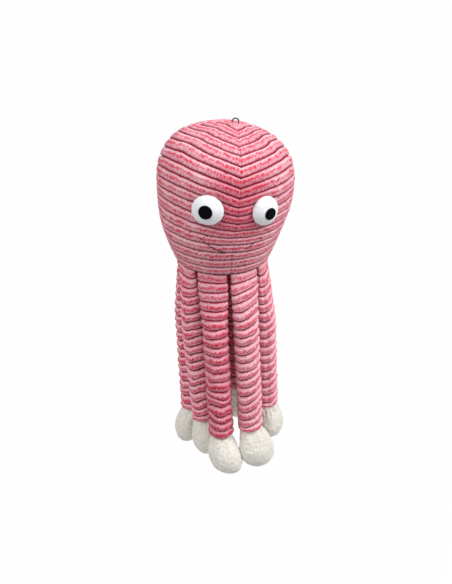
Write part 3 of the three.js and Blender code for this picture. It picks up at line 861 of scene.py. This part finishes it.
def thread_rings(path):
    """Rings of points round a path on the head."""
    turn = turns(THREAD_SIDES).T
    rings = []
    for step, point in enumerate(path):
        along = unit(path[min(step + 1, len(path) - 1)] - path[max(step - 1, 0)])
        side = unit(np.cross(along, unit(point * [1, 1, 0])))
        out = np.cross(side, along)
        rings.append(point + THREAD_RADIUS * (np.cos(turn) * side + np.sin(turn) * out))
    return np.concatenate(rings)


def smile():
    points, faces = [], []
    for stitch in range(STITCH_COUNT):
        first = len(points)
        last = first + (STITCH_STEPS - 1) * THREAD_SIDES
        points.extend(thread_rings(stitch_path(stitch)))
        faces.extend(tube_faces(STITCH_STEPS, THREAD_SIDES, first))
        faces.append(range(first, first + THREAD_SIDES))
        faces.append(reversed(range(last, last + THREAD_SIDES)))
    return new_piece("smile_stitches", np.array(points), faces, mouth_thread)


stitches = smile()
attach(stitches, "head")
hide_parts("smile_thread")


# Hanging loop of twisted cord
LOOP_ROOT_DEPTH = 2.5
LOOP_STRAIGHT_STEPS = 14
LOOP_ARCH_STEPS = 30
LOOP_SIDES = 24
CORD_STRANDS = 3
CORD_RELIEF = 0.2
CORD_TWIST = 1.7


def loop_path():
    """Places x and z above the crown along the middle of the cord."""
    half = (LOOP_INNER_WIDTH + 2 * LOOP_CORD_RADIUS) / 2
    ends = (-LOOP_ROOT_DEPTH, LOOP_STRAIGHT_HEIGHT)
    path = [(-half, z) for z in np.linspace(*ends, LOOP_STRAIGHT_STEPS, endpoint=False)]
    for turn in np.linspace(0, math.pi, LOOP_ARCH_STEPS):
        path.append((-half * math.cos(turn), LOOP_STRAIGHT_HEIGHT + half * math.sin(turn)))
    path += [(half, z) for z in np.linspace(*ends[::-1], LOOP_STRAIGHT_STEPS, endpoint=False)[1:]]
    return path


def cord_loop():
    path = loop_path()
    turn = turns(LOOP_SIDES).T
    sideways = np.array([0, 1.0, 0])
    rings, length = [], 0
    for step, (x, z) in enumerate(path):
        before, after = path[max(step - 1, 0)], path[min(step + 1, len(path) - 1)]
        along = unit(np.array([after[0] - before[0], 0, after[1] - before[1]]))
        length += math.hypot(x - before[0], z - before[1])
        strand = np.abs(np.cos(CORD_STRANDS / 2 * turn + CORD_TWIST * length))
        radius = LOOP_CORD_RADIUS * (1 - CORD_RELIEF + CORD_RELIEF * strand)
        out = np.cos(turn) * np.cross(along, sideways) + np.sin(turn) * sideways
        rings.append(CROWN + [x, 0, z] + radius * out)
    grid = np.array(rings)
    return closed_tube("cord_loop", grid, loop_cord, grid)


loop = cord_loop()
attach(loop, "head")
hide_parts("hang_loop")


# Legs
LEG_COLUMNS = 56
LEG_ROWS_PER_RIB = 12
LEG_PUFF = 1.1
LEG_PUFF_LENGTH = 20
LEG_RIB_FULLNESS = 2
LEG_GROOVE_DEPTH = 4.4
LEG_TOP_GROOVE_SHARE = 0.36
LEG_GROOVE_UNEVENNESS = 0.3
LEG_LEVEL_LENGTH = 22
ANKLE_LEVEL_LENGTH = 12
ANKLE_LEVEL_SHARE = 0.55
LEG_CREASE_DEPTH = 1.1
LEG_CREASE_WIDTH = 1.5
LEG_LUMPS = 0.45
CRUMPLE_HEIGHT = 0.9
CRUMPLE_DROPS = (5, 25)
LOW_CRUMPLE_SHARES = (0.5, 0.7)
SPLIT_RIBS = 6
HIP_BLEND = (1.5, 21)
KNEE_BLEND = (-21, 23)
# How far each leg's ribs tilt, in shares of its radius, at the neck and at the ankle
TILT_TOP_SHARES = [0.05, 0.1, 0.1, 0.15, -0.1, 0.15, 0.3, 0.34]
TILT_END_SHARES = [-0.1, 0.2, 0.15, 0.2, -0.15, 0.2, 0.2, 0.42]
# The turn of each leg's lengthwise seam in degrees, and how far the ribs dip there, in shares of its radius
SEAM_TURNS = [150, -75, -60, 100, 80, 60, -150, 120]
VEE_SHARES = [0.2, 0.5, 0.45, 0.3, 0.3, 0.3, 0.25, 0.2]
# How many times more each leg's ribs are crumpled in its lower half
LOW_CRUMPLES = [2.6, 1.4, 1.4, 1, 1, 1, 1, 1]


def leg_azimuth(leg):
    """The azimuth of a leg round the neck, in radians."""
    return (FIRST_LEG_AZIMUTH - leg * 360 / LEG_COUNT) * DEGREE


def ankle_drop(leg):
    """How far a leg's ankle hangs below the neck seam."""
    return LEG_LENGTH * LEG_LENGTH_SHARES[leg]


def leg_centre(leg, drop):
    """Where the middle of a leg lies at a drop below the neck, in the leg's own frame."""
    leaned = drop * math.tan(LEG_LEAN * DEGREE)
    down = drop / ankle_drop(leg)
    x = leaned * math.cos(leg_azimuth(leg)) + LEG_DRIFT_SHARES[leg] * LEG_RADIUS * down
    y = -LEG_RING_RADIUS - leaned * math.sin(leg_azimuth(leg)) + LEG_TUCK_SHARES[leg] * LEG_RADIUS * down
    return x, y


def from_leg(leg, local):
    """Points of a leg's own frame, -Y away from the middle of the ring, as points of the whole toy."""
    cosine, sine = math.cos(leg_azimuth(leg)), math.sin(leg_azimuth(leg))
    x, y, z = local[..., 0], local[..., 1], local[..., 2]
    return stacked(x * cosine - y * sine, x * sine + y * cosine, z - SEAM_GAP)


def rib_drops(leg, drop, turn, from_seam, rest):
    """How far below the neck the ribs lie, which tilt, dip at the lengthwise seam and crumple."""
    length = ankle_drop(leg)
    down = drop / length
    tilt = TILT_TOP_SHARES[leg] + (TILT_END_SHARES[leg] - TILT_TOP_SHARES[leg]) * down
    vee = VEE_SHARES[leg] * (1 - from_seam / math.pi) ** 2
    slope = smooth(drop, 0, LEG_LEVEL_LENGTH) * LEG_RADIUS * (vee - tilt * np.cos(turn))
    crumple = CRUMPLE_HEIGHT * ripple(rest, size=13, seed=20 + leg) * smooth(drop, *CRUMPLE_DROPS)
    crumple = crumple * (1 + down) * (1 + (LOW_CRUMPLES[leg] - 1) * smooth(down, *LOW_CRUMPLE_SHARES))
    free = 1 - ANKLE_LEVEL_SHARE * smooth(drop, length - ANKLE_LEVEL_LENGTH, length)
    return np.maximum(drop + free * (slope + crumple), 0)


def leg_tube(leg, name, first_rib, last_rib, ribs):
    """A leg's cover between two of its ribs, flat where it is sewn in and round further down."""
    count = np.linspace(first_rib, last_rib, (last_rib - first_rib) * LEG_ROWS_PER_RIB + 1)[:, None]
    drop = count * ankle_drop(leg) / ribs
    turn = turns(LEG_COLUMNS)
    from_seam = np.abs((turn - SEAM_TURNS[leg] * DEGREE + math.pi) % FULL_TURN - math.pi)
    rest = stacked(LEG_RADIUS * np.cos(turn), LEG_RADIUS * np.sin(turn), -drop)
    shifted = rib_drops(leg, drop, turn, from_seam, rest)
    round_share = smooth(shifted, 0, LEG_FLAT_LENGTH)

    groove = LEG_GROOVE_DEPTH * (LEG_TOP_GROOVE_SHARE + (1 - LEG_TOP_GROOVE_SHARE) * round_share)
    groove = groove * (1 + LEG_GROOVE_UNEVENNESS * ripple(rest, size=11, seed=40 + leg))
    inset = groove * (1 - rib_height(count, LEG_RIB_FULLNESS))
    crease = LEG_CREASE_DEPTH * hill(from_seam * LEG_RADIUS, LEG_CREASE_WIDTH)
    inset = inset + crease * smooth(shifted, 0, LEG_PUFF_LENGTH)
    inset = inset - LEG_LUMPS * ripple(rest, size=9, seed=60 + leg)
    inset = inset - LEG_PUFF * smooth(drop, 0, LEG_PUFF_LENGTH)
    inset = inset + PILE_ROUGHNESS * ripple(rest, PILE_SIZE, seed=7)

    half_width = LEG_TOP_HALF_WIDTH + (LEG_RADIUS - LEG_TOP_HALF_WIDTH) * round_share
    half_thick = LEG_TOP_HALF_THICKNESS + (LEG_RADIUS - LEG_TOP_HALF_THICKNESS) * round_share
    centre_x, centre_y = leg_centre(leg, shifted)
    x = centre_x + (half_width - inset) * np.cos(turn)
    y = centre_y + (half_thick - inset) * np.sin(turn)
    grid = from_leg(leg, stacked(x, y, -shifted))
    step = LEG_STEP * (leg + 1)
    marks = stacked(rest[..., 0] + step, rest[..., 1], count * LEG_RIB_PITCH)
    return closed_tube(name, grid, leg_plush, marks, count + 0 * turn + step)


def leg_axis_point(leg, drop):
    """A place in the frame on the middle line of a leg."""
    x, y = leg_centre(leg, drop)
    return tuple(placed(from_leg(leg, np.array([x, y, -drop]))))


# Feet
FOOT_COLUMNS = 80
FOOT_ROWS = 52
FOOT_TUCK = 5
FOOT_END_SHARE = 0.997
FOOT_END_EXPONENT = 2.2
FOOT_SWELLS = [1.06, 0.96, 1.0, 1.0, 1.0, 1.0, 1.04, 1.18]
ANKLE_INSET = 1.6
ANKLE_TUCK_INSET = 2.6
ANKLE_TUCK_LENGTH = 1.5
GATHER_COUNT = 11
GATHER_DEPTH = 0.45
GATHER_SHARES = (0.02, 0.36)
FOOT_SEAM_DEPTH = 0.5
FOOT_SEAM_WIDTH = 1.3
FOOT_SEAM_SHARES = (0.02, 0.2)
FOOT_LUMPS = 0.8
FOOT_CURLS = 0.5
ANKLE_BLEND = (1, 26)


def foot_relief(leg, local, turn, share, half_width, closing):
    """How far a foot's cloth stands out, in gathers under the ankle, two side seams and lumps."""
    uneven = 3 * np.sin(2 * turn + leg)
    gather = GATHER_DEPTH * np.cos(GATHER_COUNT * turn + uneven)
    gather = gather * (1 - smooth(share, *GATHER_SHARES))
    side_seam = FOOT_SEAM_DEPTH * hill(np.sin(turn) * half_width, FOOT_SEAM_WIDTH)
    side_seam = side_seam * smooth(share, *FOOT_SEAM_SHARES)
    lumps = FOOT_LUMPS * ripple(local, size=15, seed=80 + leg)
    lumps = lumps + FOOT_CURLS * ripple(local, size=3.4, seed=90 + leg)
    return gather - side_seam + lumps * np.sqrt(closing)


def foot(leg, name):
    """A stuffed fleece foot, gathered into the ankle and widest below its middle."""
    height = FOOT_HEIGHT * FOOT_HEIGHT_SHARES[leg]
    share = np.linspace(-FOOT_TUCK / height, FOOT_END_SHARE, FOOT_ROWS)[:, None]
    turn = turns(FOOT_COLUMNS)
    above = np.clip(share / FOOT_WIDEST_SHARE, 0, 1)
    below = np.clip((share - FOOT_WIDEST_SHARE) / (1 - FOOT_WIDEST_SHARE), 0, 1)
    swell = np.sin(above * math.pi / 2)
    closing = np.sqrt(1 - below**FOOT_END_EXPONENT)
    ankle = LEG_RADIUS - ANKLE_INSET - ANKLE_TUCK_INSET * smooth(-share, 0, ANKLE_TUCK_LENGTH / height)
    half_width = (ankle + (FOOT_HALF_WIDTH * FOOT_SWELLS[leg] - ankle) * swell) * closing
    half_thick = (ankle + (FOOT_HALF_THICKNESS - ankle) * swell) * closing
    drop = ankle_drop(leg) + SEAM_GAP
    centre_x, centre_y = leg_centre(leg, drop)
    x = centre_x + FOOT_LEAN_SHARES[leg] * height * np.maximum(share, 0) + half_width * np.cos(turn)
    y = centre_y - FOOT_OUTSETS[leg] * swell + half_thick * np.sin(turn)
    local = stacked(x, y, -drop - height * share)
    out = stacked(np.cos(turn), np.sin(turn), 0 * share)
    local = local + out * foot_relief(leg, local, turn, share, half_width, closing)[..., None]
    marks = local + np.array([LEG_STEP * (leg + 1), 0, 0])
    return closed_tube(name, from_leg(leg, local), fleece, marks)


for leg in range(LEG_COUNT):
    label = f"leg_{leg + 1}"
    ribs = round(ankle_drop(leg) / LEG_RIB_PITCH)
    upper = leg_tube(leg, f"{label}_upper_plush", 0, SPLIT_RIBS, ribs)
    lower = leg_tube(leg, f"{label}_lower_plush", SPLIT_RIBS, ribs, ribs)
    fleece_foot = foot(leg, f"foot_{leg + 1}_fleece")
    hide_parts(f"{label}_upper_cover", f"{label}_upper_filling")
    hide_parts(f"{label}_lower_cover", f"{label}_lower_filling")
    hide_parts(f"foot_{leg + 1}_cover", f"foot_{leg + 1}_filling")
    joins = (
        (upper, "head", f"{label}_upper", 0, HIP_BLEND),
        (lower, f"{label}_upper", f"{label}_lower", KNEE_DROP, KNEE_BLEND),
        (fleece_foot, f"{label}_lower", f"foot_{leg + 1}", ankle_drop(leg), ANKLE_BLEND),
    )
    for piece, above, below, drop, (start, end) in joins:
        leg_axis_point(leg, drop + start)
        leg_axis_point(leg, drop + end)
        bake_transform(piece)


# Floor far below the hanging toy, and a white sky
FLOOR_DROP = 900
FLOOR_HALF_SIZE = 12000
FLOOR_COLOUR = (0.8, 0.8, 0.8, 1)
FLOOR_ROUGHNESS = 0.9
FLOOR_WHITE_SHARE = 0.98
SKY_STRENGTH = 0.45


def white_for_camera(nodes, surface, white_kind, share):
    """Shows a surface partly as plain white to the camera and in mirrors, and as itself to other light."""
    path = nodes.add("ShaderNodeLightPath")
    seen = nodes.math("MAXIMUM", path.outputs["Is Camera Ray"], path.outputs["Is Glossy Ray"])
    seen = nodes.math("MAXIMUM", seen, path.outputs["Is Transmission Ray"])
    white = nodes.add(white_kind, Color=WHITE)
    mix = nodes.add("ShaderNodeMixShader")
    for socket, value in zip(mix.inputs, (nodes.product(seen, share), surface, white.outputs[0])):
        nodes.put(socket, value)
    return mix.outputs[0]


def floor():
    nodes = Nodes(bpy.data.materials.new("pale_floor"))
    nodes.shader.inputs["Base Color"].default_value = FLOOR_COLOUR
    nodes.shader.inputs["Roughness"].default_value = FLOOR_ROUGHNESS
    shown = white_for_camera(nodes, nodes.shader.outputs[0], "ShaderNodeEmission", FLOOR_WHITE_SHARE)
    nodes.put(nodes.tree.nodes["Material Output"].inputs["Surface"], shown)
    corners = [(-1, -1), (1, -1), (1, 1), (-1, 1)]
    points = np.array([(x * FLOOR_HALF_SIZE, y * FLOOR_HALF_SIZE, -FLOOR_DROP) for x, y in corners])
    piece = new_piece("floor", points, [(0, 1, 2, 3)], nodes.owner)


def sky():
    nodes = Nodes(bpy.data.worlds.new("studio"))
    lit = nodes.tree.nodes["Background"]
    lit.inputs["Color"].default_value = WHITE
    lit.inputs["Strength"].default_value = SKY_STRENGTH
    shown = white_for_camera(nodes, lit.outputs[0], "ShaderNodeBackground", 1)
    nodes.put(nodes.tree.nodes["World Output"].inputs["Surface"], shown)
    bpy.context.scene.world = nodes.owner


# Two softboxes, whose distance and size are in metres
LAMP_DISTANCE = 1.5
LAMP_SIZE = 0.9


def softbox(name, azimuth, elevation, watts):
    """A square area lamp that faces the toy's neck; azimuth 0 is in front and positive towards +X."""
    data = bpy.data.lights.new(name, "AREA")
    data.shape = "SQUARE"
    data.size = LAMP_SIZE
    data.energy = watts
    lamp = bpy.data.objects.new(name, data)
    turn, rise = azimuth * DEGREE, elevation * DEGREE
    away = Vector((math.sin(turn) * math.cos(rise), -math.cos(turn) * math.cos(rise), math.sin(rise)))
    lamp.location = Vector(placed((0, 0, 0))) + away * LAMP_DISTANCE
    lamp.rotation_euler = away.to_track_quat("Z", "Y").to_euler()
    bpy.context.scene.collection.objects.link(lamp)


# Camera, fitted to the photo, and how near and far it sees, in metres
CAMERA_AZIMUTH = -10
CAMERA_PITCH = 26.8
CAMERA_DISTANCE = 933
CAMERA_HEIGHT = 431.1
CAMERA_AIM_X = 4.2
CAMERA_SIDE = -0.56
FOCAL_PIXELS = 1079
PHOTO_HEIGHT_PIXELS = 584
SENSOR = 36
NEAREST_SEEN = 0.05
FARTHEST_SEEN = 60


def camera():
    turn, pitch = CAMERA_AZIMUTH * DEGREE, CAMERA_PITCH * DEGREE
    right = np.array([math.cos(turn), math.sin(turn), 0])
    forward = np.array([-math.sin(turn), math.cos(turn), 0])
    place = np.array([CAMERA_AIM_X, 0, CAMERA_HEIGHT]) - CAMERA_DISTANCE * forward + CAMERA_SIDE * right
    data = bpy.data.cameras.new("camera")
    data.sensor_width = SENSOR
    data.lens = FOCAL_PIXELS / PHOTO_HEIGHT_PIXELS * SENSOR
    data.clip_start = NEAREST_SEEN
    data.clip_end = FARTHEST_SEEN
    shot = bpy.data.objects.new("camera", data)
    shot.location = Vector(placed(place))
    look = Vector(forward * math.cos(pitch)) - Vector((0, 0, math.sin(pitch)))
    shot.rotation_euler = look.to_track_quat("-Z", "Y").to_euler()
    bpy.context.scene.collection.objects.link(shot)
    bpy.context.scene.camera = shot


floor()
sky()
softbox("key", azimuth=62, elevation=46, watts=22)
softbox("fill", azimuth=-58, elevation=52, watts=12.5)
camera()
bpy.context.scene.view_settings.view_transform = "Standard"
